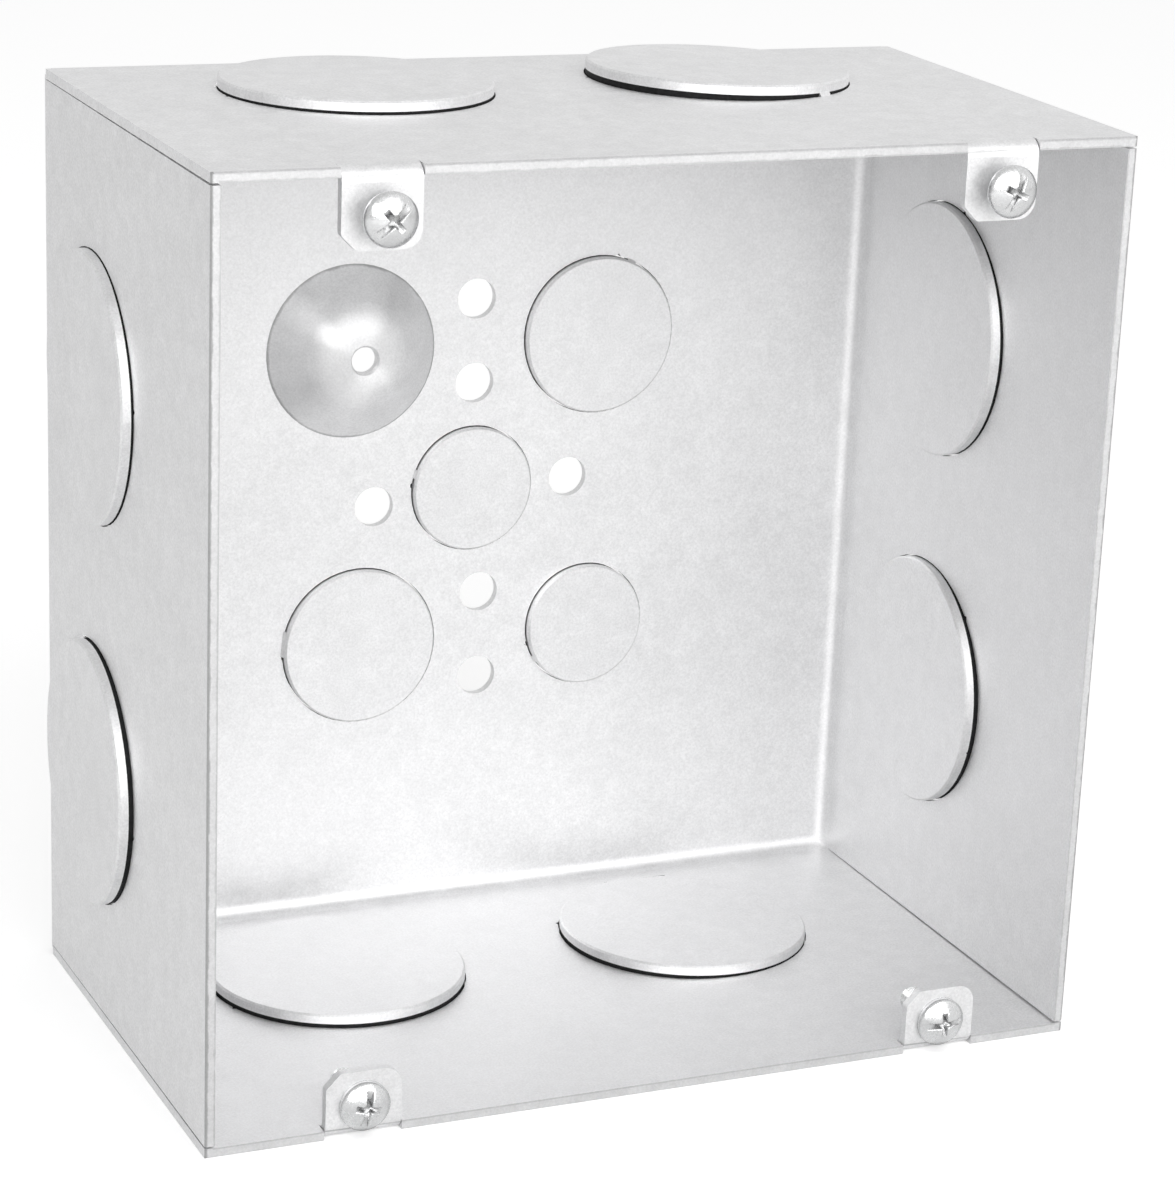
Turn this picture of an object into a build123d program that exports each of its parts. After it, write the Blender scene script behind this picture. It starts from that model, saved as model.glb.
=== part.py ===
from build123d import *
from math import atan2, cos, degrees, radians, sin, sqrt
from typing import NamedTuple
import os

# A square steel outlet box, folded from one sheet, with its four cover screws.
# Millimetres. X runs to the right, Y from the open front to the back plate, Z up.
# The origin is the centre of the outside of the bottom wall, which the box stands on.

# Folded sheet
box_width = 151.0
box_height = 152.4
box_depth = 88.9
sheet = 1.6
back_bend_radius = 2.4
seam_gap_front = 0.35
seam_gap_back = 0.12
corner_notch = 1.2
front_edge_chamfer = 0.25

# Cover ears, folded down behind the front edge
ear_width = 12.5
ear_bend_radius = 0.8
ear_cut_corner = 2.4
ear_cut_corner_radius = 1.0
ear_round_corner_radius = 3.0
ear_relief_width = 0.15
ear_relief_depth = 1.8
left_ear_inset = 25.7
right_ear_inset = 23.9
upper_ear_drop = 12.3
lower_ear_rise = 11.0
upper_screw_drop = 7.1
lower_screw_rise = 5.3

# Cover screws
screw_radius = 2.08
screw_length = 10.6
screw_tip_chamfer = 0.5
screw_thread_clearance = 0.03
screw_head_radius = 4.1
screw_head_height = 2.5
screw_head_side = 0.8
slot_width = 1.1
slot_depth = 0.9
cross_span = 4.8
cross_width = 1.0
cross_foot_span = 1.8
cross_depth = 1.7
upper_screw_backed_out = 3.0

# Knockouts
side_knockout_radius = 22.0
large_knockout_radius = 14.05
small_knockout_radius = 11.2
knockout_clearance = 0.2
knockout_edge_chamfer = 0.3
tie_bite_rim = 0.15
tie_bite_slug = 0.8
nick_width = 1.1
nick_reach = 0.5

# Mounting holes in the back plate
mounting_hole_radius = 3.5

# Ground boss, pressed in towards the opening
boss_across = -22.3
boss_up = 26.5
boss_base_radius = 15.1
boss_top_radius = 7.0
boss_height = 7.0
boss_shoulder_radius = 9.0
boss_hollow_wall = 2.4
boss_hollow_shoulder = 7.4
ground_hole_radius = 2.25
ground_hole_chamfer = 0.35

# Places worked out from the sizes above
front_y = -box_depth / 2
back_y = box_depth / 2
middle_z = box_height / 2
outer_bend_radius = back_bend_radius + sheet
ear_clearing_depth = ear_bend_radius + ear_relief_depth
cut_through = 4 * sheet


class Knockout(NamedTuple):
    """A slug that is sheared and pushed out of its hole, and still held by one tie.

    Places and angles are in its wall's plane. push is how far the middle of the slug has moved,
    and rise_x and rise_y are what it gains at the rim along the plane's X and Y.
    """

    radius: float
    x: float
    y: float
    push: float
    rise_x: float
    rise_y: float
    tie_angle: float
    tie_width: float
    nick_angle: float


# Each wall's plane has its Z on the side that the wall's slugs are pushed to.
# On the top and bottom walls X is across and Y is the place in front of the back edge.
top_plane = Plane(origin=(0, back_y, box_height), x_dir=(1, 0, 0), z_dir=(0, 0, 1))
bottom_plane = Plane(origin=(0, back_y, sheet), x_dir=(1, 0, 0), z_dir=(0, 0, 1))
# On the left and right walls X is the place in front of the back edge and Y is up.
left_plane = Plane(origin=(-box_width / 2, back_y, middle_z), x_dir=(0, -1, 0), z_dir=(-1, 0, 0))
right_plane = Plane(origin=(box_width / 2 - sheet, back_y, middle_z), x_dir=(0, -1, 0), z_dir=(-1, 0, 0))
# On the back plate X is across and Y is up.
back_plane = Plane(origin=(0, back_y - sheet, middle_z), x_dir=(1, 0, 0), z_dir=(0, -1, 0))

knockouts = {
    top_plane: [
        Knockout(
            side_knockout_radius, x=-32.6, y=-29.9, push=1.9, rise_x=0.0, rise_y=-0.15,
            tie_angle=160, tie_width=3.0, nick_angle=186,
        ),
        Knockout(
            side_knockout_radius, x=31.1, y=-28.1, push=2.1, rise_x=-0.45, rise_y=-0.25,
            tie_angle=298, tie_width=2.6, nick_angle=172,
        ),
    ],
    bottom_plane: [
        Knockout(
            side_knockout_radius, x=-33.8, y=-31.7, push=2.2, rise_x=0.0, rise_y=0.0,
            tie_angle=90, tie_width=5.0, nick_angle=200,
        ),
        Knockout(
            side_knockout_radius, x=31.0, y=-31.5, push=1.9, rise_x=-0.35, rise_y=-0.1,
            tie_angle=90, tie_width=12.0, nick_angle=154,
        ),
    ],
    left_plane: [
        Knockout(
            side_knockout_radius, x=29.9, y=30.6, push=1.7, rise_x=0.25, rise_y=0.0,
            tie_angle=180, tie_width=4.0, nick_angle=4,
        ),
        Knockout(
            side_knockout_radius, x=29.7, y=-33.6, push=2.1, rise_x=0.25, rise_y=0.0,
            tie_angle=108, tie_width=4.0, nick_angle=-10,
        ),
    ],
    right_plane: [
        Knockout(
            side_knockout_radius, x=32.8, y=32.4, push=1.45, rise_x=0.6, rise_y=0.0,
            tie_angle=180, tie_width=5.0, nick_angle=75,
        ),
        Knockout(
            side_knockout_radius, x=33.6, y=-30.9, push=1.5, rise_x=0.85, rise_y=0.0,
            tie_angle=184, tie_width=5.0, nick_angle=46,
        ),
    ],
    back_plane: [
        Knockout(
            large_knockout_radius, x=23.4, y=26.9, push=1.0, rise_x=-0.3, rise_y=0.15,
            tie_angle=66, tie_width=1.6, nick_angle=77,
        ),
        Knockout(
            large_knockout_radius, x=-19.9, y=-26.2, push=0.9, rise_x=-0.3, rise_y=0.1,
            tie_angle=174, tie_width=4.6, nick_angle=184,
        ),
        Knockout(
            small_knockout_radius, x=0.4, y=0.8, push=0.9, rise_x=-0.2, rise_y=0.15,
            tie_angle=163, tie_width=1.6, nick_angle=174,
        ),
        Knockout(
            small_knockout_radius, x=22.6, y=-25.9, push=1.0, rise_x=-0.3, rise_y=0.1,
            tie_angle=212, tie_width=1.4, nick_angle=195,
        ),
    ],
}

# Middles of the six mounting holes, across and up from the middle of the back plate
mounting_holes = [
    (0.4, 34.4),
    (0.4, 19.6),
    (18.5, 1.5),
    (-17.6, -1.3),
    (2.3, -18.3),
    (2.3, -33.8),
]

ear_middles = (left_ear_inset - box_width / 2, box_width / 2 - right_ear_inset)
slot_turns = {"top_left": 42, "top_right": 66, "bottom_left": 80, "bottom_right": 2}


def rounded_block(width, height, start_y, end_y, radius):
    """A block centred on the box, with the edges of its back face rounded."""
    lengthwise = (Align.CENTER, Align.MIN, Align.CENTER)
    block = Pos(0, start_y, middle_z) * Box(width, end_y - start_y, height, align=lengthwise)
    back_edges = block.faces().sort_by(Axis.Y)[-1].edges()
    return fillet(back_edges, radius)


def folded_shell():
    """The back plate and four walls, with the bends along the back and the outer front edge broken."""
    outside = rounded_block(box_width, box_height, front_y, back_y, outer_bend_radius)
    front_edges = outside.faces().sort_by(Axis.Y)[0].edges()
    outside = chamfer(front_edges, front_edge_chamfer)
    inside = rounded_block(
        box_width - 2 * sheet, box_height - 2 * sheet, front_y - sheet, back_y - sheet, back_bend_radius
    )
    return outside - inside


def corner_seam(side, level):
    """The open slit where a side wall's cut edge meets the top or bottom wall.

    side is -1 for the left wall and 1 for the right, level is -1 for the bottom and 1 for the top.
    """
    seam_z = middle_z + level * (middle_z - sheet)
    end_y = back_y - outer_bend_radius
    slit_profile = Plane.YZ * make_face(
        Polyline(
            (front_y - sheet, seam_z),
            (front_y - sheet, seam_z - level * seam_gap_front),
            (end_y, seam_z - level * seam_gap_back),
            (end_y, seam_z),
            close=True,
        )
    )
    slit = extrude(slit_profile, amount=sheet, both=True)
    return Pos(side * box_width / 2, 0, 0) * slit


def back_corner_notch(side, level):
    """The small relief at the back end of a seam, where two bends meet."""
    notch = Box(2 * corner_notch, 2 * outer_bend_radius, 2 * corner_notch)
    return Pos(side * box_width / 2, back_y, middle_z + level * middle_z) * notch


def wall_opening(knockout):
    """The hole that a slug came out of, with a nick in its rim, in the wall's plane."""
    middle = Pos(knockout.x, knockout.y, -sheet / 2)
    hole = Cylinder(knockout.radius, cut_through)
    nick = Rot(0, 0, 45) * Box(nick_width, nick_width, cut_through)
    nick_middle = knockout.radius + nick_reach - nick_width / sqrt(2)
    return [middle * hole, middle * Rot(0, 0, knockout.nick_angle) * Pos(nick_middle, 0, 0) * nick]


def slug(knockout):
    """The round slug, moved out of its hole and leaning a little, in the wall's plane."""
    radius = knockout.radius - knockout_clearance
    disc = Cylinder(radius, sheet)
    leading_rim = disc.edges().filter_by(GeomType.CIRCLE).sort_by(Axis.Z)[-1]
    disc = chamfer(leading_rim, knockout_edge_chamfer)
    lean = Rot(degrees(atan2(knockout.rise_y, radius)), -degrees(atan2(knockout.rise_x, radius)), 0)
    return Pos(knockout.x, knockout.y, knockout.push - sheet / 2) * lean * disc


def tie(knockout):
    """The torn strip that still holds a slug to the rim of its hole, in the wall's plane."""
    angle = radians(knockout.tie_angle)
    push = knockout.push + knockout.rise_x * cos(angle) + knockout.rise_y * sin(angle)
    rim = knockout.radius + tie_bite_rim
    foot = knockout.radius - knockout_clearance - tie_bite_slug
    strip_profile = Plane.XZ * make_face(
        Polyline((rim, -sheet), (rim, 0), (foot, push), (foot, push - sheet), close=True)
    )
    strip = extrude(strip_profile, amount=knockout.tie_width / 2, both=True)
    return Pos(knockout.x, knockout.y, 0) * Rot(0, 0, knockout.tie_angle) * strip


def boss():
    """The outside of the ground boss, standing on the inside of the back plate."""
    dome = Pos(0, 0, boss_height / 2) * Cone(boss_base_radius, boss_top_radius, boss_height)
    top_edge = dome.edges().filter_by(GeomType.CIRCLE).sort_by(Axis.Z)[-1]
    dome = fillet(top_edge, boss_shoulder_radius)
    return back_plane * Pos(boss_across, boss_up, 0) * dome


def boss_hollow():
    """The hollow behind the boss, open at the back of the box, with the ground screw's hole."""
    slope = (boss_base_radius - boss_top_radius) / boss_height
    foot_radius = boss_base_radius - boss_hollow_wall + slope * sheet
    crown_radius = foot_radius - slope * boss_height
    hollow = Pos(0, 0, boss_height / 2 - sheet) * Cone(foot_radius, crown_radius, boss_height)
    crown_edge = hollow.edges().filter_by(GeomType.CIRCLE).sort_by(Axis.Z)[-1]
    hollow = fillet(crown_edge, boss_hollow_shoulder)
    hole = Pos(0, 0, boss_height) * Cylinder(ground_hole_radius, cut_through)
    countersink = Pos(0, 0, boss_height - ground_hole_chamfer / 2) * Cone(
        ground_hole_radius, ground_hole_radius + ground_hole_chamfer, ground_hole_chamfer
    )
    return [back_plane * Pos(boss_across, boss_up, 0) * piece for piece in (hollow, hole, countersink)]


def mounting_hole_cutters():
    """The round holes through the back plate."""
    hole = Cylinder(mounting_hole_radius, cut_through)
    return [back_plane * Pos(across, up, 0) * hole for across, up in mounting_holes]


def ear_clearing(middle):
    """What is cut from the top wall's front edge before an ear is folded from it."""
    width = ear_width + 2 * ear_relief_width
    clearing = Box(width, 2 * ear_clearing_depth, cut_through)
    return Pos(middle, front_y, box_height) * clearing


def ear_outline(drop):
    """The ear seen from the front, with its left tip corner cut and its right one rounded."""
    side = ear_width / 2
    tip_z = box_height - drop
    outline = make_face(
        Polyline(
            (-side, box_height),
            (-side, tip_z + ear_cut_corner),
            (ear_cut_corner - side, tip_z),
            (side, tip_z),
            (side, box_height),
            close=True,
        )
    )
    cut_corners = outline.vertices().sort_by_distance((-side, tip_z, 0))[:2]
    outline = fillet(cut_corners, ear_cut_corner_radius)
    round_corner = outline.vertices().sort_by_distance((side, tip_z, 0))[0]
    return fillet(round_corner, ear_round_corner_radius)


def ear(middle, drop, screw_drop):
    """An ear folded down from the top wall's front edge, with its tapped screw hole."""
    root_y = front_y + ear_clearing_depth + sheet
    outer_z = box_height
    inner_z = box_height - sheet
    tip_z = box_height - drop
    outline = Polyline(
        (root_y, inner_z),
        (root_y, outer_z),
        (front_y, outer_z),
        (front_y, tip_z),
        (front_y + sheet, tip_z),
        (front_y + sheet, inner_z),
        close=True,
    )
    profile = make_face(outline)
    outer_corner = profile.vertices().sort_by_distance((front_y, outer_z, 0))[0]
    profile = fillet(outer_corner, ear_bend_radius + sheet)
    inner_corner = profile.vertices().sort_by_distance((front_y + sheet, inner_z, 0))[0]
    profile = fillet(inner_corner, ear_bend_radius)
    strip = extrude(Plane.YZ * profile, amount=ear_width / 2, both=True)
    seen_from_front = Plane.XZ * ear_outline(drop)
    strip = strip & Pos(0, front_y, 0) * extrude(seen_from_front, amount=2 * (root_y - front_y), both=True)
    hole = Cylinder(screw_radius + screw_thread_clearance, cut_through)
    strip = strip - Pos(0, front_y, box_height - screw_drop) * Rot(90, 0, 0) * hole
    return Pos(middle, 0, 0) * strip


def upside_down(shape):
    """The same shape mirrored from the top wall to the bottom wall."""
    return mirror(shape, about=Plane(origin=(0, 0, middle_z), z_dir=(0, 0, 1)))


def box_body():
    """The whole folded sheet: shell, seams, knockouts, boss, holes and ears."""
    corners = [(side, level) for side in (-1, 1) for level in (-1, 1)]
    cutters = [corner_seam(side, level) for side, level in corners]
    cutters += [back_corner_notch(side, level) for side, level in corners]
    cutters += mounting_hole_cutters()
    upper_ears = [ear(middle, upper_ear_drop, upper_screw_drop) for middle in ear_middles]
    lower_ears = [upside_down(ear(middle, lower_ear_rise, lower_screw_rise)) for middle in ear_middles]
    for middle in ear_middles:
        cutters.append(ear_clearing(middle))
        cutters.append(upside_down(ear_clearing(middle)))
    slugs = []
    for plane, wall_knockouts in knockouts.items():
        for knockout in wall_knockouts:
            cutters += [plane * cutter for cutter in wall_opening(knockout)]
            slugs += [plane * slug(knockout), plane * tie(knockout)]
    body = folded_shell() - cutters
    body = body + boss() - boss_hollow()
    body = body + slugs + upper_ears + lower_ears
    body.label = "box_body"
    return body


def screw_recess():
    """The straight slot and the cross that are pressed into the same screw head."""
    slot_length = 3 * screw_head_radius
    slot = Pos(0, 0, screw_head_height - slot_depth / 2) * Box(slot_length, slot_width, slot_depth)
    arms = []
    for arm_turn in (0, 90):
        arm_profile = Plane.XZ * make_face(
            Polyline(
                (-cross_span / 2, screw_head_height),
                (-cross_foot_span / 2, screw_head_height - cross_depth),
                (cross_foot_span / 2, screw_head_height - cross_depth),
                (cross_span / 2, screw_head_height),
                close=True,
            )
        )
        arms.append(Rot(0, 0, arm_turn) * extrude(arm_profile, amount=cross_width / 2, both=True))
    return [slot] + arms


def cover_screw():
    """A round-headed screw along Z, with the underside of its head at Z = 0."""
    crown_rise = screw_head_height - screw_head_side
    crown_radius = (screw_head_radius**2 + crown_rise**2) / (2 * crown_rise)
    crown = RadiusArc((screw_head_radius, screw_head_side), (0, screw_head_height), -crown_radius)
    side_and_shank = Polyline(
        (0, screw_head_height),
        (0, -screw_length),
        (screw_radius - screw_tip_chamfer, -screw_length),
        (screw_radius, screw_tip_chamfer - screw_length),
        (screw_radius, 0),
        (screw_head_radius, 0),
        (screw_head_radius, screw_head_side),
    )
    blank = revolve(Plane.XZ * make_face(crown + side_and_shank), Axis.Z)
    return blank - screw_recess()


def placed_screw(name, middle, screw_z, backed_out):
    """A cover screw in its ear, with its head towards the front."""
    place = Pos(middle, front_y - backed_out, screw_z) * Rot(90, 0, 0)
    screw = place * Rot(0, 0, slot_turns[name]) * cover_screw()
    screw.label = "cover_screw_" + name
    return screw


def cover_screws():
    """The four cover screws: the upper two are backed out, the lower two are driven home."""
    left, right = ear_middles
    upper_z = box_height - upper_screw_drop
    return [
        placed_screw("top_left", left, upper_z, upper_screw_backed_out),
        placed_screw("top_right", right, upper_z, upper_screw_backed_out),
        placed_screw("bottom_left", left, lower_screw_rise, 0),
        placed_screw("bottom_right", right, lower_screw_rise, 0),
    ]


os.makedirs("parts", exist_ok=True)
for part in [box_body()] + cover_screws():
    export_step(part, "parts/" + part.label + ".step")
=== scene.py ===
import math
from typing import NamedTuple

import bmesh
import bpy
from mathutils import Matrix, Vector, noise


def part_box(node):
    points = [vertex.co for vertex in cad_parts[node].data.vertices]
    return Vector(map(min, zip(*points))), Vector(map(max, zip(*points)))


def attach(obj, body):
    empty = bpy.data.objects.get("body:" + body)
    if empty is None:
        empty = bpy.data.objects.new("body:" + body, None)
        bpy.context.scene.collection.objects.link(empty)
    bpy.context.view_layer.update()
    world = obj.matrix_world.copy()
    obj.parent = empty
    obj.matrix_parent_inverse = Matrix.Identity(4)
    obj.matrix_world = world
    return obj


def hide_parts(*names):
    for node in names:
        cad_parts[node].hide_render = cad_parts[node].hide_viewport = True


# The square steel outlet box in metres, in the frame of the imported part:
# X to the right, Y from the open front to the back plate, Z up.

MM = 0.001

# Camera, solved from the photograph
IMAGE_WIDTH = 1175
IMAGE_HEIGHT = 1200
FOCAL_PIXELS = 3782.5
CENTRE_X_PIXELS = 695.8
CENTRE_Y_PIXELS = 714.25
SENSOR_MM = 36.0
NEAREST = 10 * MM
FARTHEST = 100.0
CAMERA_PLACE = Vector((-237.97, -547.16, 256.92)) * MM
CAMERA_RIGHT = Vector((0.90712, -0.41813, 0.04788))
CAMERA_UP = Vector((0.09585, 0.31602, 0.94390))

# Cover screws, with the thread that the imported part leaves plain
SCREW_NAMES = ("top_left", "top_right", "bottom_left", "bottom_right")
SHANK_LENGTH = 10.6 * MM
THREAD_PITCH = 0.794 * MM
THREAD_RADIUS = 2.08 * MM
THREAD_DEPTH = 0.42 * MM
THREAD_ROWS = 6
THREAD_COLUMNS = 32
TIP_CHAMFER = 0.6 * MM
SMOOTH_ANGLE = math.radians(35)
SAME_PLACE = 0.002 * MM

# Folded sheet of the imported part
SHEET = 1.6 * MM
BOX_WIDTH = 151.0 * MM
BOX_HEIGHT = 152.4 * MM
SLUG_CHAMFER = 0.3 * MM
BOSS_MIDDLE = Vector((-22.3, 0, 102.7)) * MM
BOSS_RADIUS = 15.1 * MM

# Kinds of face on the sheet: how steep a sheared edge is to its wall and how clear of the bends,
# and how deep the front edge's faces lie and how much they face the front
STEEP = 0.65
CLEAR_OF_BENDS = 6 * MM
FRONT_SKIN = 0.3 * MM
FACING_FRONT = 0.3
SHEET_FACE, SHEARED_FACE, FRONT_FACE, BOSS_FACE = range(4)

# Which flat faces are slugs: how level with their wall they are, how far they stand out of it,
# and their least area
FLAT = 0.97
SLUG_LOWEST = 0.4 * MM
SLUG_HIGHEST = 3.0 * MM
SLUG_LEAST_AREA = 100 * MM**2

# Torn metal under each slug's sheared rim, reaching down into its hole, and painted shade in its
# gap
TORN_COLUMNS = 180
TORN_INSET = 0.05 * MM
TORN_THICKNESS = 0.4 * MM
TORN_OVERLAP = 0.12 * MM
TORN_FOOT = 1.25 * MM
TORN_RAGGED = 0.05 * MM
TORN_PITCH = 0.9 * MM

# Painted shade in the crevices of sheared edges and screws: how far it is felt, how closed
# they are, how finely that is sampled, and the tone of the darkest
EDGE_CREVICE = 0.8 * MM
EDGE_CLEAR = 0.6
SCREW_CREVICE = 2.2 * MM
SCREW_CLEAR = 0.85
CREVICE_DARK = 0.1
CREVICE_SAMPLES = 4
SHADE_AND_MOTTLE_DARK = (0.012, 0.012, 0.013, 1.0)

# Painted shade lines along the front edge's outer and inner corners, and around the foot of the
# boss
OUTER_LINE = (0.30 * MM, 0.50 * MM)
SIDE_SHADE = 0.62
TOP_SHADE = 0.86
INNER_LINE = (1.25 * MM, 1.45 * MM)
INNER_SHADE = 0.80
BOSS_LINE = (14.65 * MM, 14.95 * MM)
BOSS_SHADE = 0.6
LINE_WANDER = 0.12 * MM
BOSS_STRETCH = 0.85

# Sockets of a mix node that take and give colours
MIX_COLOUR_A = 6
MIX_COLOUR_B = 7
MIX_COLOUR = 2

# Noises, each as features per metre, detail and roughness, and the part of their range in use
CLOUD = (45.0, 3.0, 0.55)
MOTTLE = (320.0, 4.0, 0.6)
GRAIN = (2600.0, 2.0, 0.7)
WANDER = (500.0, 3.0, 0.6)
PITS = (1500.0, 4.0, 0.7)
NOISE_MIDDLE = (0.3, 0.7)

# Zinc: the least of each noise in its tone, the grain's roughness and height, and for each surface
# its tone, its range of roughness, how strongly the grain shows in relief, and how metallic it is
CLOUD_LOW = 0.965
MOTTLE_LOW = 0.93
GRAIN_LOW = 0.85
GRAIN_ROUGHNESS = 0.03
GRAIN_HEIGHT = 0.02 * MM
SHEET_TONE = (0.96, 0.96, 0.965, 1.0)
FRONT_TONE = (0.80, 0.80, 0.805, 1.0)
SCREW_TONE = (0.88, 0.885, 0.89, 1.0)
SHEET_ROUGHNESS = (0.48, 0.58)
BOSS_ROUGHNESS = (0.36, 0.44)
SCREW_ROUGHNESS = (0.20, 0.30)
SHEET_GRAIN = 0.5
BOSS_GRAIN = 0.2
SCREW_GRAIN = 0.8
BOSS_METALLIC = 0.9

# Torn steel, near black as painted shade in the gap under each slug
TORN_SHADE_DARK = (0.003, 0.003, 0.003, 1.0)
TORN_SHADE_LIGHT = (0.02, 0.02, 0.021, 1.0)
TORN_METALLIC = 0.6
TORN_ROUGHNESS = 0.75
PIT_STRENGTH = 0.8
PIT_DEPTH = 0.05 * MM

# Lamps and room, with less of the room's light from the left than from the right
ROOM_LEFT = 0.62
ROOM_RIGHT = 0.88
FLOOR_SIZE = 12.0
FLOOR_TONE = 0.8
FLOOR_WHITENING = 0.3
FLOOR_IN_METAL = 0.02
LAMP_AIM = Vector((0, 0, 0.07))

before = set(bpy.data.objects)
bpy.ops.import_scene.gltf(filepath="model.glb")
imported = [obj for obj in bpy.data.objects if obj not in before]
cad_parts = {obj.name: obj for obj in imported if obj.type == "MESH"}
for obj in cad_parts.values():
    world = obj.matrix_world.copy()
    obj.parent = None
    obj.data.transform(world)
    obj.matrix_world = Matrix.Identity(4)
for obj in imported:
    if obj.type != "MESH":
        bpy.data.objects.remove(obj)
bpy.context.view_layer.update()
body_low, body_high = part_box("box_body")


class Wall(NamedTuple):
    """A wall of the box: its outward direction, its outer face's place along that, and its way.

    way is 1 where its slugs are pushed outwards and -1 where they are pushed inwards.
    """

    name: str
    outward: Vector
    place: float
    way: int


WALLS = (
    Wall("left", Vector((-1, 0, 0)), body_high.x, 1),
    Wall("right", Vector((1, 0, 0)), body_high.x, -1),
    Wall("top", Vector((0, 0, 1)), BOX_HEIGHT, 1),
    Wall("bottom", Vector((0, 0, -1)), 0.0, -1),
    Wall("back", Vector((0, 1, 0)), body_high.y, -1),
)


def node(tree, kind, **settings):
    """A new node in the tree, with its settings and unlinked inputs filled in."""
    made = tree.nodes.new(kind)
    for name, value in settings.items():
        if name in made.inputs:
            made.inputs[name].default_value = value
        else:
            setattr(made, name, value)
    return made


def blank_material(name):
    """A node material with nothing but its output."""
    material = bpy.data.materials.new(name)
    material.use_nodes = True
    material.node_tree.nodes.clear()
    output = material.node_tree.nodes.new("ShaderNodeOutputMaterial")
    return material, material.node_tree, output


def speckle(tree, place, scale, detail, roughness):
    """A noise texture at the given places, in features per metre."""
    made = node(tree, "ShaderNodeTexNoise", Scale=scale, Detail=detail, Roughness=roughness)
    tree.links.new(place, made.inputs["Vector"])
    return made.outputs["Fac"]


def ramp(tree, value, from_low, from_high, to_low, to_high):
    """The value carried from one range to another, and held at the ends."""
    made = node(tree, "ShaderNodeMapRange")
    made.inputs["From Min"].default_value = from_low
    made.inputs["From Max"].default_value = from_high
    made.inputs["To Min"].default_value = to_low
    made.inputs["To Max"].default_value = to_high
    tree.links.new(value, made.inputs["Value"])
    return made.outputs["Result"]


def spread(tree, value, low, high):
    """The middle of a noise stretched to run from low to high."""
    return ramp(tree, value, *NOISE_MIDDLE, low, high)


def combine(tree, operation, a, b):
    """Two values of the tree, or a value and a number, put through a math node."""
    made = node(tree, "ShaderNodeMath", operation=operation)
    for socket, value in zip(made.inputs, (a, b)):
        if isinstance(value, float):
            socket.default_value = value
        else:
            tree.links.new(value, socket)
    return made.outputs[0]


def multiply(tree, a, b):
    """The product of two values in the tree."""
    return combine(tree, "MULTIPLY", a, b)


def tinted(tree, value, dark, light):
    """A colour that runs from dark to light with the value."""
    made = node(tree, "ShaderNodeMix", data_type="RGBA")
    made.inputs[MIX_COLOUR_A].default_value = dark
    made.inputs[MIX_COLOUR_B].default_value = light
    tree.links.new(value, made.inputs[0])
    return made.outputs[MIX_COLOUR]


def split(tree, place):
    """The X, Y and Z of a place, as three values."""
    parts = tree.nodes.new("ShaderNodeSeparateXYZ")
    tree.links.new(place, parts.inputs[0])
    return parts.outputs["X"], parts.outputs["Y"], parts.outputs["Z"]


def crevices(tree, reach, clear):
    """How open to the air a surface is, from 0 in a narrow crevice to 1 clear of it, as a painted
    shade's mask.
    """
    closeness = node(tree, "ShaderNodeAmbientOcclusion", Distance=reach, samples=CREVICE_SAMPLES)
    return ramp(tree, closeness.outputs["AO"], CREVICE_DARK, clear, 0.0, 1.0)


def edge_crevice_shade(tree, _place):
    """Painted shade in the crevices of the sheet's sheared edges."""
    return crevices(tree, EDGE_CREVICE, EDGE_CLEAR)


def screw_crevice_shade(tree, _place):
    """Painted shade in the crevices of a screw's recess and thread."""
    return crevices(tree, SCREW_CREVICE, SCREW_CLEAR)


def wander(tree, place, value):
    """The value with a little noise, in metres, so that a line along it isn't ruled."""
    drift = spread(tree, speckle(tree, place, *WANDER), -LINE_WANDER, LINE_WANDER)
    return combine(tree, "ADD", value, drift)


def corner_shade_lines(tree, place):
    """Painted shade lines along the front edge's corners, by the depth below the walls' outer
    faces.
    """
    across, _, up = split(tree, place)
    aside = combine(tree, "ABSOLUTE", across, 0.0)
    side_depth = wander(tree, place, combine(tree, "SUBTRACT", BOX_WIDTH / 2, aside))
    top_depth = wander(tree, place, combine(tree, "SUBTRACT", BOX_HEIGHT, up))
    least = combine(tree, "MINIMUM", combine(tree, "MINIMUM", side_depth, top_depth), up)
    side_line = ramp(tree, side_depth, *OUTER_LINE, SIDE_SHADE, 1.0)
    top_line = ramp(tree, top_depth, *OUTER_LINE, TOP_SHADE, 1.0)
    inner_line = ramp(tree, least, *INNER_LINE, 1.0, INNER_SHADE)
    return multiply(tree, multiply(tree, side_line, top_line), inner_line)


def from_boss(tree, place):
    """How far to the right of the boss's middle a place is, and how far above it."""
    across, _, up = split(tree, place)
    right = combine(tree, "SUBTRACT", across, BOSS_MIDDLE.x)
    above = combine(tree, "SUBTRACT", up, BOSS_MIDDLE.z)
    return right, above


def boss_shade_line(tree, place):
    """A painted shade line around the foot of the boss."""
    right, above = from_boss(tree, place)
    squares = combine(tree, "ADD", multiply(tree, right, right), multiply(tree, above, above))
    radius = wander(tree, place, combine(tree, "SQRT", squares, 0.0))
    return ramp(tree, radius, *BOSS_LINE, 1.0, BOSS_SHADE)


def stretched_gloss(tree, shader, place):
    """Stretches the boss's gloss outwards from its middle, as the fine rings of its pressing do."""
    right, above = from_boss(tree, place)
    spoke = tree.nodes.new("ShaderNodeCombineXYZ")
    tree.links.new(right, spoke.inputs["X"])
    tree.links.new(above, spoke.inputs["Z"])
    outwards = node(tree, "ShaderNodeVectorMath", operation="NORMALIZE")
    tree.links.new(spoke.outputs[0], outwards.inputs[0])
    tree.links.new(outwards.outputs[0], shader.inputs["Tangent"])
    shader.inputs["Anisotropic"].default_value = BOSS_STRETCH


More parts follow.
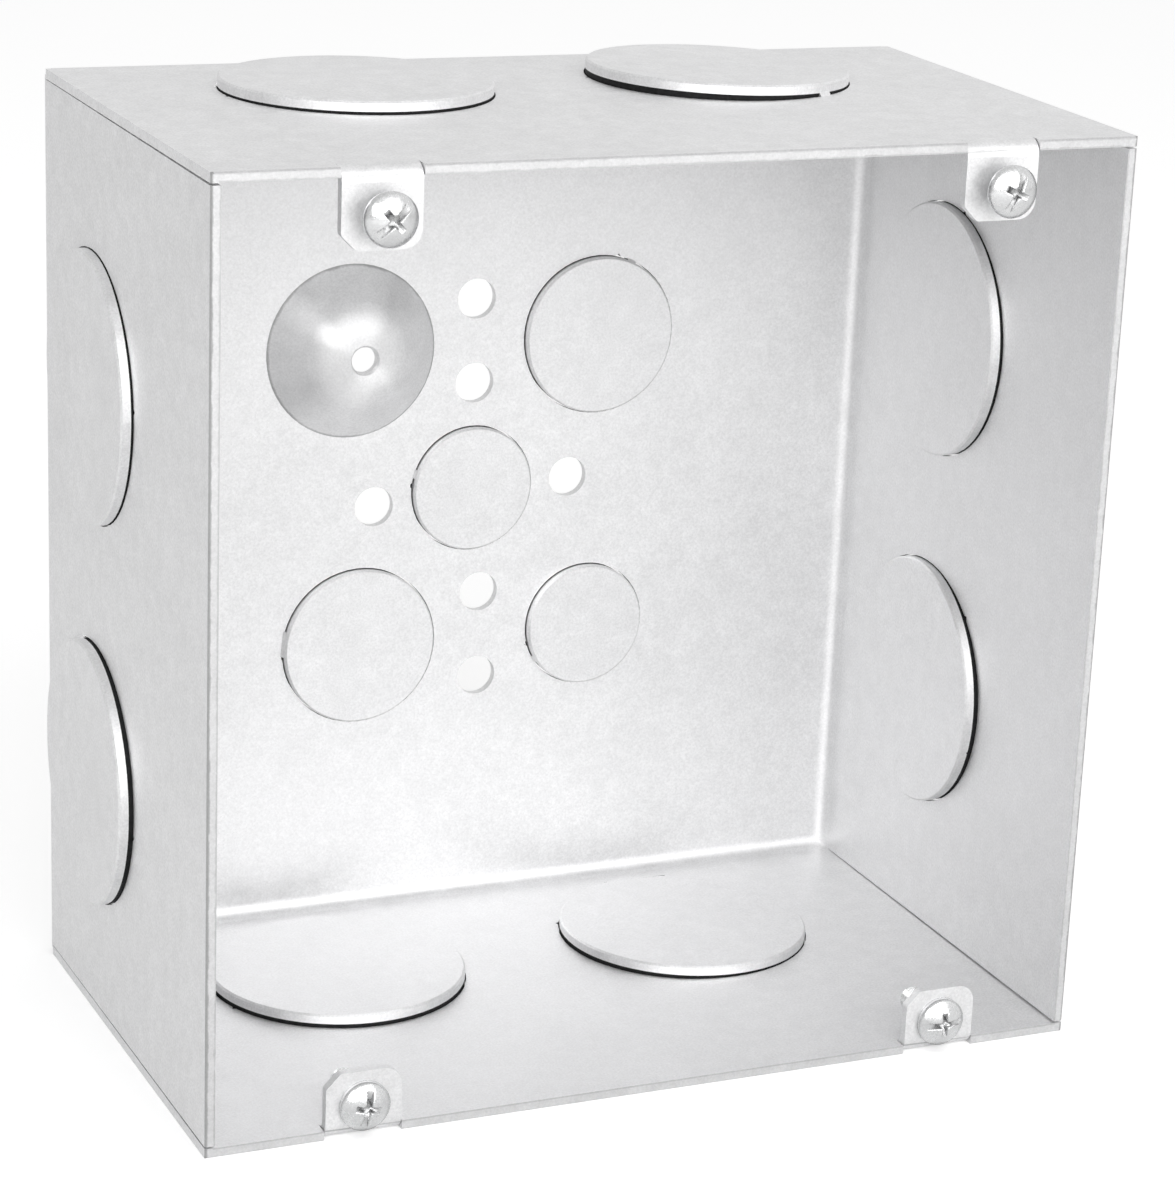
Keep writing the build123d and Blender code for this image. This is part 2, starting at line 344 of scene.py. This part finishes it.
def zinc(name, tone, rough, grain_depth, painted_shade=None, gloss=None, metallic=1.0):
    """Zinc-coated steel with a cloudy tone and fine grain, darkened where a painted shade is given.

    tone is its grey and rough the range of its roughness. The shade function gives how much
    painted shade darkens each place, and gloss changes the finished shader.
    """
    material, tree, output = blank_material(name)
    place = tree.nodes.new("ShaderNodeTexCoord").outputs["Object"]
    cloud = speckle(tree, place, *CLOUD)
    mottle = speckle(tree, place, *MOTTLE)
    grain = speckle(tree, place, *GRAIN)

    broad = spread(tree, cloud, CLOUD_LOW, 1.0)
    fine = spread(tree, mottle, MOTTLE_LOW, 1.0)
    value = multiply(tree, multiply(tree, broad, fine), spread(tree, grain, GRAIN_LOW, 1.0))
    # Painted shade: the shade function darkens the colour towards the darkest tone
    if painted_shade:
        value = multiply(tree, value, painted_shade(tree, place))
    colour = tinted(tree, value, SHADE_AND_MOTTLE_DARK, tone)

    uneven = spread(tree, grain, -GRAIN_ROUGHNESS, GRAIN_ROUGHNESS)
    roughness = combine(tree, "ADD", spread(tree, mottle, *rough), uneven)

    bump = node(tree, "ShaderNodeBump", Strength=grain_depth, Distance=GRAIN_HEIGHT)
    tree.links.new(grain, bump.inputs["Height"])

    shader = node(tree, "ShaderNodeBsdfPrincipled", Metallic=metallic)
    tree.links.new(colour, shader.inputs["Base Color"])
    tree.links.new(roughness, shader.inputs["Roughness"])
    tree.links.new(bump.outputs["Normal"], shader.inputs["Normal"])
    tree.links.new(shader.outputs["BSDF"], output.inputs["Surface"])
    if gloss:
        gloss(tree, shader, place)
    return material


def torn_steel_and_shade():
    """Bare steel where the metal tore, rough and pitted, and near black as painted shade in the
    gap.
    """
    material, tree, output = blank_material("torn_steel_and_shade")
    place = tree.nodes.new("ShaderNodeTexCoord").outputs["Object"]
    pits = speckle(tree, place, *PITS)
    colour = tinted(tree, spread(tree, pits, 0.0, 1.0), TORN_SHADE_DARK, TORN_SHADE_LIGHT)
    bump = node(tree, "ShaderNodeBump", Strength=PIT_STRENGTH, Distance=PIT_DEPTH)
    tree.links.new(pits, bump.inputs["Height"])
    shader = tree.nodes.new("ShaderNodeBsdfPrincipled")
    shader.inputs["Metallic"].default_value = TORN_METALLIC
    shader.inputs["Roughness"].default_value = TORN_ROUGHNESS
    tree.links.new(colour, shader.inputs["Base Color"])
    tree.links.new(bump.outputs["Normal"], shader.inputs["Normal"])
    tree.links.new(shader.outputs["BSDF"], output.inputs["Surface"])
    return material


def add_object(name, data):
    """A new object in the scene with the given data."""
    made = bpy.data.objects.new(name, data)
    bpy.context.scene.collection.objects.link(made)
    return made


def height(wall, point):
    """How far a point stands out of the wall, on the side that its slugs are pushed to."""
    beyond_outside = wall.outward.dot(point) - wall.place
    if wall.way > 0:
        return beyond_outside
    return -beyond_outside - SHEET


def kind_of_face(centre, normal):
    """Whether a face of the sheet is a sheared edge, the front edge, the boss or plain sheet."""
    distances = [abs(wall.outward.dot(centre) - wall.place) for wall in WALLS]
    nearest = distances.index(min(distances))
    if centre.y < body_low.y + FRONT_SKIN and -normal.y > FACING_FRONT:
        return FRONT_FACE if distances[nearest] < SHEET else SHEET_FACE
    aside = Vector((centre.x - BOSS_MIDDLE.x, 0, centre.z - BOSS_MIDDLE.z)).length
    if aside < BOSS_RADIUS and centre.y < body_high.y - SHEET and centre.y > 0:
        return BOSS_FACE
    if sorted(distances)[1] < CLEAR_OF_BENDS or centre.y < body_low.y + CLEAR_OF_BENDS:
        return SHEET_FACE
    return SHEARED_FACE if abs(WALLS[nearest].outward.dot(normal)) < STEEP else SHEET_FACE


def touching_groups(faces):
    """The faces in groups that touch each other along their edges."""
    waiting = dict.fromkeys(faces)
    groups = []
    while waiting:
        group = [next(iter(waiting))]
        del waiting[group[0]]
        for face in group:
            for edge in face.edges:
                for beside in edge.link_faces:
                    if beside in waiting:
                        del waiting[beside]
                        group.append(beside)
        groups.append(group)
    return groups


def slug_discs(mesh, wall):
    """The middle, direction and rim radius of each of the wall's slugs, read from its flat face."""
    way_out = wall.outward * wall.way
    faces = []
    for face in mesh.faces:
        flat = face.normal.dot(way_out) > FLAT
        if flat and SLUG_LOWEST < height(wall, face.calc_center_median()) < SLUG_HIGHEST:
            faces.append(face)
    discs = []
    for group in touching_groups(faces):
        area = sum(face.calc_area() for face in group)
        if area < SLUG_LEAST_AREA:
            continue
        middles = (face.calc_center_median() * face.calc_area() for face in group)
        normals = (face.normal * face.calc_area() for face in group)
        middle = sum(middles, Vector()) / area
        direction = sum(normals, Vector()).normalized()
        corners = [vertex.co for face in group for vertex in face.verts]
        radius = max((corner - middle).length for corner in corners) + SLUG_CHAMFER
        discs.append((middle, direction, radius))
    return discs


def torn_and_shade_band(name, wall, disc, material):
    """The ragged torn metal under one slug's rim, dark as painted shade: a thin ring from the slug
    down into its hole.
    """
    middle, direction, radius = disc
    across = direction.orthogonal().normalized()
    beside = direction.cross(across)
    way_out = wall.outward * wall.way
    mesh = bmesh.new()
    rows = []
    for column in range(TORN_COLUMNS):
        angle = 2 * math.pi * column / TORN_COLUMNS
        spoke = across * math.cos(angle) + beside * math.sin(angle)
        at_rim = middle + spoke * radius
        ragged = noise.noise(at_rim / TORN_PITCH) * TORN_RAGGED
        outer = radius - TORN_INSET + ragged
        row = []
        for reach in (outer, outer - TORN_THICKNESS):
            top = middle + spoke * reach - direction * (SHEET - TORN_OVERLAP)
            foot = top - way_out * (height(wall, top) + TORN_FOOT)
            row += [top, foot]
        outer_top, outer_foot, inner_top, inner_foot = row
        ring = (outer_top, outer_foot, inner_foot, inner_top)
        rows.append([mesh.verts.new(place) for place in ring])
    for here, after in zip(rows, rows[1:] + rows[:1]):
        for corner in range(4):
            following = (corner + 1) % 4
            mesh.faces.new((here[corner], after[corner], after[following], here[following]))
    bmesh.ops.recalc_face_normals(mesh, faces=mesh.faces)
    data = bpy.data.meshes.new(name)
    mesh.to_mesh(data)
    mesh.free()
    data.materials.append(material)
    made = add_object(name, data)
    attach(made, "root")


def torn_and_shade_bands(material):
    """A torn band under every slug of every wall, dark as painted shade in its gap."""
    mesh = bmesh.new()
    mesh.from_mesh(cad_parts["box_body"].data)
    for wall in WALLS:
        for number, disc in enumerate(slug_discs(mesh, wall), start=1):
            torn_and_shade_band("torn_band_%s_%d" % (wall.name, number), wall, disc, material)
    mesh.free()


def threaded_shank(mesh, middle, length):
    """Adds a threaded rod to the mesh, along +Y from the middle of its head's underside."""
    rows = THREAD_ROWS * (math.ceil(length / THREAD_PITCH) + 2)
    grid = []
    for row in range(rows + 1):
        crest = abs((row % THREAD_ROWS) * 2 / THREAD_ROWS - 1)
        for column in range(THREAD_COLUMNS):
            along = (row / THREAD_ROWS + column / THREAD_COLUMNS - 1) * THREAD_PITCH
            along = min(max(along, 0.0), length)
            radius = THREAD_RADIUS - THREAD_DEPTH * (1 - crest)
            radius = min(radius, THREAD_RADIUS - TIP_CHAMFER + length - along)
            angle = 2 * math.pi * column / THREAD_COLUMNS
            place = Vector((radius * math.cos(angle), along, radius * math.sin(angle)))
            grid.append(mesh.verts.new(middle + place))
    for row in range(rows - THREAD_ROWS):
        for column in range(THREAD_COLUMNS):
            here = row * THREAD_COLUMNS + column
            beside = here + 1
            if column == THREAD_COLUMNS - 1:
                beside = (row + THREAD_ROWS) * THREAD_COLUMNS
            corners = (here, here + THREAD_COLUMNS, beside + THREAD_COLUMNS, beside)
            mesh.faces.new([grid[corner] for corner in corners])


def threaded_screw(name, material):
    """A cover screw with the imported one's own head on a threaded shank."""
    cad_name = "cover_screw_" + name
    low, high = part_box(cad_name)
    seat_y = high.y - SHANK_LENGTH
    middle = Vector(((low.x + high.x) / 2, seat_y, (low.z + high.z) / 2))
    mesh = bmesh.new()
    mesh.from_mesh(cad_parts[cad_name].data)
    shank = [vertex for vertex in mesh.verts if vertex.co.y > seat_y + SAME_PLACE]
    bmesh.ops.delete(mesh, geom=shank, context="VERTS")
    threaded_shank(mesh, middle, SHANK_LENGTH)
    bmesh.ops.remove_doubles(mesh, verts=mesh.verts, dist=SAME_PLACE)
    bmesh.ops.dissolve_degenerate(mesh, edges=mesh.edges, dist=SAME_PLACE)
    loose = [vertex for vertex in mesh.verts if not vertex.link_faces]
    bmesh.ops.delete(mesh, geom=loose, context="VERTS")
    rims = [edge for edge in mesh.edges if edge.is_boundary]
    tip = [edge for edge in rims if edge.verts[0].co.y > seat_y + SAME_PLACE]
    bmesh.ops.holes_fill(mesh, edges=tip)
    bmesh.ops.recalc_face_normals(mesh, faces=mesh.faces)
    data = bpy.data.meshes.new(cad_name + "_threaded")
    mesh.to_mesh(data)
    mesh.free()
    data.shade_smooth()
    data.set_sharp_from_angle(angle=SMOOTH_ANGLE)
    data.materials.append(material)
    made = add_object(cad_name + "_threaded", data)
    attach(made, "root")
    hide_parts(cad_name)


def paint_body(materials):
    """Gives the folded sheet its materials, in the order of the kinds of face."""
    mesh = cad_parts["box_body"].data
    mesh.materials.clear()
    for material in materials:
        mesh.materials.append(material)
    for face in mesh.polygons:
        face.material_index = kind_of_face(face.center, face.normal)


def camera():
    """The camera at the photograph's viewpoint."""
    data = bpy.data.cameras.new("camera")
    larger_side = max(IMAGE_WIDTH, IMAGE_HEIGHT)
    data.sensor_width = SENSOR_MM
    data.lens = FOCAL_PIXELS * SENSOR_MM / larger_side
    data.shift_x = (IMAGE_WIDTH / 2 - CENTRE_X_PIXELS) / larger_side
    data.shift_y = (CENTRE_Y_PIXELS - IMAGE_HEIGHT / 2) / larger_side
    data.clip_start = NEAREST
    data.clip_end = FARTHEST
    made = add_object("camera", data)
    back = CAMERA_RIGHT.cross(CAMERA_UP)
    turn = Matrix((CAMERA_RIGHT, CAMERA_UP, back)).transposed()
    made.matrix_world = Matrix.Translation(CAMERA_PLACE) @ turn.to_4x4()
    bpy.context.scene.camera = made


def lamp(name, place, size, watts):
    """A square soft light at place that looks at the middle of the box."""
    data = bpy.data.lights.new(name, "AREA")
    data.shape = "SQUARE"
    data.size = size
    data.energy = watts
    made = add_object(name, data)
    made.location = place
    made.rotation_euler = (LAMP_AIM - Vector(place)).to_track_quat("-Z", "Y").to_euler()


def floor():
    """A pale floor that keeps the shadow, lit up for the camera and a little for the metal."""
    bpy.ops.mesh.primitive_plane_add(size=FLOOR_SIZE, location=(0, 0, 0))
    made = bpy.context.object
    made.name = "floor"
    material, tree, output = blank_material("floor")
    matt = node(tree, "ShaderNodeBsdfDiffuse", Color=(FLOOR_TONE, FLOOR_TONE, FLOOR_TONE, 1.0))
    shader = matt.outputs[0]
    path = tree.nodes.new("ShaderNodeLightPath")
    for ray, strength in (("Is Glossy Ray", FLOOR_IN_METAL), ("Is Camera Ray", FLOOR_WHITENING)):
        glow = node(tree, "ShaderNodeEmission", Strength=strength)
        lit = tree.nodes.new("ShaderNodeAddShader")
        tree.links.new(matt.outputs[0], lit.inputs[0])
        tree.links.new(glow.outputs[0], lit.inputs[1])
        pick = tree.nodes.new("ShaderNodeMixShader")
        tree.links.new(path.outputs[ray], pick.inputs[0])
        tree.links.new(shader, pick.inputs[1])
        tree.links.new(lit.outputs[0], pick.inputs[2])
        shader = pick.outputs[0]
    tree.links.new(shader, output.inputs["Surface"])
    made.data.materials.append(material)


def room():
    """A pale room, brighter on the right, that the camera sees as white."""
    world = bpy.data.worlds.new("world")
    bpy.context.scene.world = world
    world.use_nodes = True
    tree = world.node_tree
    tree.nodes.clear()
    output = tree.nodes.new("ShaderNodeOutputWorld")
    lighting = node(tree, "ShaderNodeBackground", Color=(1.0, 1.0, 1.0, 1.0))
    to_the_right, _, _ = split(tree, tree.nodes.new("ShaderNodeTexCoord").outputs["Generated"])
    strength = ramp(tree, to_the_right, -1.0, 1.0, ROOM_LEFT, ROOM_RIGHT)
    tree.links.new(strength, lighting.inputs["Strength"])
    seen = node(tree, "ShaderNodeBackground", Color=(1.0, 1.0, 1.0, 1.0), Strength=1.0)
    path = tree.nodes.new("ShaderNodeLightPath")
    pick = tree.nodes.new("ShaderNodeMixShader")
    tree.links.new(path.outputs["Is Camera Ray"], pick.inputs[0])
    tree.links.new(lighting.outputs[0], pick.inputs[1])
    tree.links.new(seen.outputs[0], pick.inputs[2])
    tree.links.new(pick.outputs[0], output.inputs["Surface"])


sheet_zinc = zinc("galvanised_sheet", SHEET_TONE, SHEET_ROUGHNESS, SHEET_GRAIN)
# Sheared edges: zinc with painted shade darkening their crevices
edge_zinc = zinc("sheared_edge", SHEET_TONE, SHEET_ROUGHNESS, SHEET_GRAIN, painted_shade=edge_crevice_shade)
# Front edge: zinc with painted shade lines along its corners
front_zinc = zinc("front_edge", FRONT_TONE, SHEET_ROUGHNESS, SHEET_GRAIN, painted_shade=corner_shade_lines)
# Boss: zinc with a painted shade line around its foot
boss_zinc = zinc(
    "pressed_boss",
    SHEET_TONE,
    BOSS_ROUGHNESS,
    BOSS_GRAIN,
    painted_shade=boss_shade_line,
    gloss=stretched_gloss,
    metallic=BOSS_METALLIC,
)
# Screws: zinc with painted shade darkening the recess and thread
screw_zinc = zinc("zinc_screw", SCREW_TONE, SCREW_ROUGHNESS, SCREW_GRAIN, painted_shade=screw_crevice_shade)
paint_body((sheet_zinc, edge_zinc, front_zinc, boss_zinc))
# Near-black bands under the slugs: torn metal, and painted shade in the gaps
torn_and_shade_bands(torn_steel_and_shade())
for screw_name in SCREW_NAMES:
    threaded_screw(screw_name, screw_zinc)

camera()
floor()
room()
lamp("key", place=(0.35, -1.5, 0.9), size=1.5, watts=12.8)
lamp("fill", place=(-0.75, -1.3, 0.7), size=0.8, watts=9.3)
bpy.context.scene.view_settings.view_transform = "Standard"
